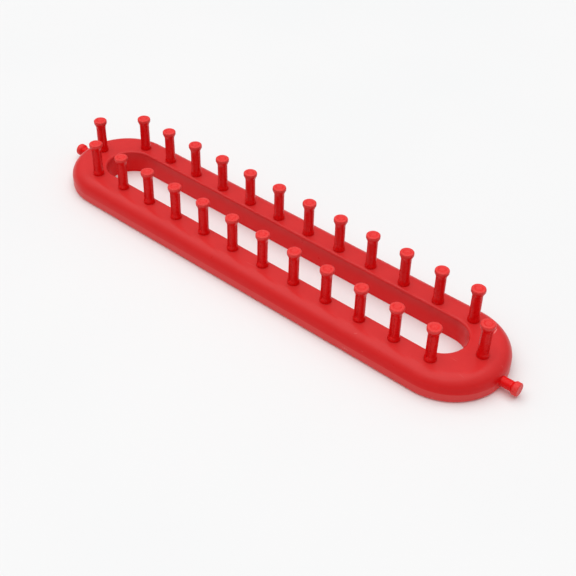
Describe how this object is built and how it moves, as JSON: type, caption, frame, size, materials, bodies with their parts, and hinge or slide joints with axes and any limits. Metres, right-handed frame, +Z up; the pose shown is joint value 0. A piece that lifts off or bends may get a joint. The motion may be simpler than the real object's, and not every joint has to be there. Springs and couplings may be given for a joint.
{
  "type": "knitting loom",
  "caption": "Long slotted moulded frame with upright grooved yarn pegs round the slot and a small anchor peg in each end wall, for knitting flat or tubular fabric.",
  "frame": {"origin": "middle of the loom at the height of the surface it stands on", "axes": "+X along the long rails towards the right-hand end, +Y towards the back row of pegs, +Z up along the pegs"},
  "size_m": [0.25, 0.0494, 0.0274],
  "materials": {
    "frame_plastic": "satin moulded red plastic",
    "peg_plastic": "glossy moulded red plastic"
  },
  "bodies": {
    "frame": {"frame": "frame_plastic"},
    "peg_01": {"peg_01": "peg_plastic"},
    "peg_02": {"peg_02": "peg_plastic"},
    "peg_03": {"peg_03": "peg_plastic"},
    "peg_04": {"peg_04": "peg_plastic"},
    "peg_05": {"peg_05": "peg_plastic"},
    "peg_06": {"peg_06": "peg_plastic"},
    "peg_07": {"peg_07": "peg_plastic"},
    "peg_08": {"peg_08": "peg_plastic"},
    "peg_09": {"peg_09": "peg_plastic"},
    "peg_10": {"peg_10": "peg_plastic"},
    "peg_11": {"peg_11": "peg_plastic"},
    "peg_12": {"peg_12": "peg_plastic"},
    "peg_13": {"peg_13": "peg_plastic"},
    "peg_14": {"peg_14": "peg_plastic"},
    "peg_15": {"peg_15": "peg_plastic"},
    "peg_16": {"peg_16": "peg_plastic"},
    "peg_17": {"peg_17": "peg_plastic"},
    "peg_18": {"peg_18": "peg_plastic"},
    "peg_19": {"peg_19": "peg_plastic"},
    "peg_20": {"peg_20": "peg_plastic"},
    "peg_21": {"peg_21": "peg_plastic"},
    "peg_22": {"peg_22": "peg_plastic"},
    "peg_23": {"peg_23": "peg_plastic"},
    "peg_24": {"peg_24": "peg_plastic"},
    "peg_25": {"peg_25": "peg_plastic"},
    "peg_26": {"peg_26": "peg_plastic"},
    "anchor_peg_left": {"anchor_peg_left": "peg_plastic"},
    "anchor_peg_right": {"anchor_peg_right": "peg_plastic"}
  },
  "joints": [
    {"name": "peg_01_pull", "type": "slide", "parent": "frame", "child": "peg_01", "axis": [0, 0, 1], "range_m": [0, 0.0065]},
    {"name": "peg_02_pull", "type": "slide", "parent": "frame", "child": "peg_02", "axis": [0, 0, 1], "range_m": [0, 0.0065]},
    {"name": "peg_03_pull", "type": "slide", "parent": "frame", "child": "peg_03", "axis": [0, 0, 1], "range_m": [0, 0.0065]},
    {"name": "peg_04_pull", "type": "slide", "parent": "frame", "child": "peg_04", "axis": [0, 0, 1], "range_m": [0, 0.0065]},
    {"name": "peg_05_pull", "type": "slide", "parent": "frame", "child": "peg_05", "axis": [0, 0, 1], "range_m": [0, 0.0065]},
    {"name": "peg_06_pull", "type": "slide", "parent": "frame", "child": "peg_06", "axis": [0, 0, 1], "range_m": [0, 0.0065]},
    {"name": "peg_07_pull", "type": "slide", "parent": "frame", "child": "peg_07", "axis": [0, 0, 1], "range_m": [0, 0.0065]},
    {"name": "peg_08_pull", "type": "slide", "parent": "frame", "child": "peg_08", "axis": [0, 0, 1], "range_m": [0, 0.0065]},
    {"name": "peg_09_pull", "type": "slide", "parent": "frame", "child": "peg_09", "axis": [0, 0, 1], "range_m": [0, 0.0065]},
    {"name": "peg_10_pull", "type": "slide", "parent": "frame", "child": "peg_10", "axis": [0, 0, 1], "range_m": [0, 0.0065]},
    {"name": "peg_11_pull", "type": "slide", "parent": "frame", "child": "peg_11", "axis": [0, 0, 1], "range_m": [0, 0.0065]},
    {"name": "peg_12_pull", "type": "slide", "parent": "frame", "child": "peg_12", "axis": [0, 0, 1], "range_m": [0, 0.0065]},
    {"name": "peg_13_pull", "type": "slide", "parent": "frame", "child": "peg_13", "axis": [0, 0, 1], "range_m": [0, 0.0065]},
    {"name": "peg_14_pull", "type": "slide", "parent": "frame", "child": "peg_14", "axis": [0, 0, 1], "range_m": [0, 0.0065]},
    {"name": "peg_15_pull", "type": "slide", "parent": "frame", "child": "peg_15", "axis": [0, 0, 1], "range_m": [0, 0.0065]},
    {"name": "peg_16_pull", "type": "slide", "parent": "frame", "child": "peg_16", "axis": [0, 0, 1], "range_m": [0, 0.0065]},
    {"name": "peg_17_pull", "type": "slide", "parent": "frame", "child": "peg_17", "axis": [0, 0, 1], "range_m": [0, 0.0065]},
    {"name": "peg_18_pull", "type": "slide", "parent": "frame", "child": "peg_18", "axis": [0, 0, 1], "range_m": [0, 0.0065]},
    {"name": "peg_19_pull", "type": "slide", "parent": "frame", "child": "peg_19", "axis": [0, 0, 1], "range_m": [0, 0.0065]},
    {"name": "peg_20_pull", "type": "slide", "parent": "frame", "child": "peg_20", "axis": [0, 0, 1], "range_m": [0, 0.0065]},
    {"name": "peg_21_pull", "type": "slide", "parent": "frame", "child": "peg_21", "axis": [0, 0, 1], "range_m": [0, 0.0065]},
    {"name": "peg_22_pull", "type": "slide", "parent": "frame", "child": "peg_22", "axis": [0, 0, 1], "range_m": [0, 0.0065]},
    {"name": "peg_23_pull", "type": "slide", "parent": "frame", "child": "peg_23", "axis": [0, 0, 1], "range_m": [0, 0.0065]},
    {"name": "peg_24_pull", "type": "slide", "parent": "frame", "child": "peg_24", "axis": [0, 0, 1], "range_m": [0, 0.0065]},
    {"name": "peg_25_pull", "type": "slide", "parent": "frame", "child": "peg_25", "axis": [0, 0, 1], "range_m": [0, 0.0065]},
    {"name": "peg_26_pull", "type": "slide", "parent": "frame", "child": "peg_26", "axis": [0, 0, 1], "range_m": [0, 0.0065]},
    {"name": "anchor_left_pull", "type": "slide", "parent": "frame", "child": "anchor_peg_left", "axis": [-1, 0, 0], "range_m": [0, 0.004]},
    {"name": "anchor_right_pull", "type": "slide", "parent": "frame", "child": "anchor_peg_right", "axis": [1, 0, 0], "range_m": [0, 0.004]}
  ]
}
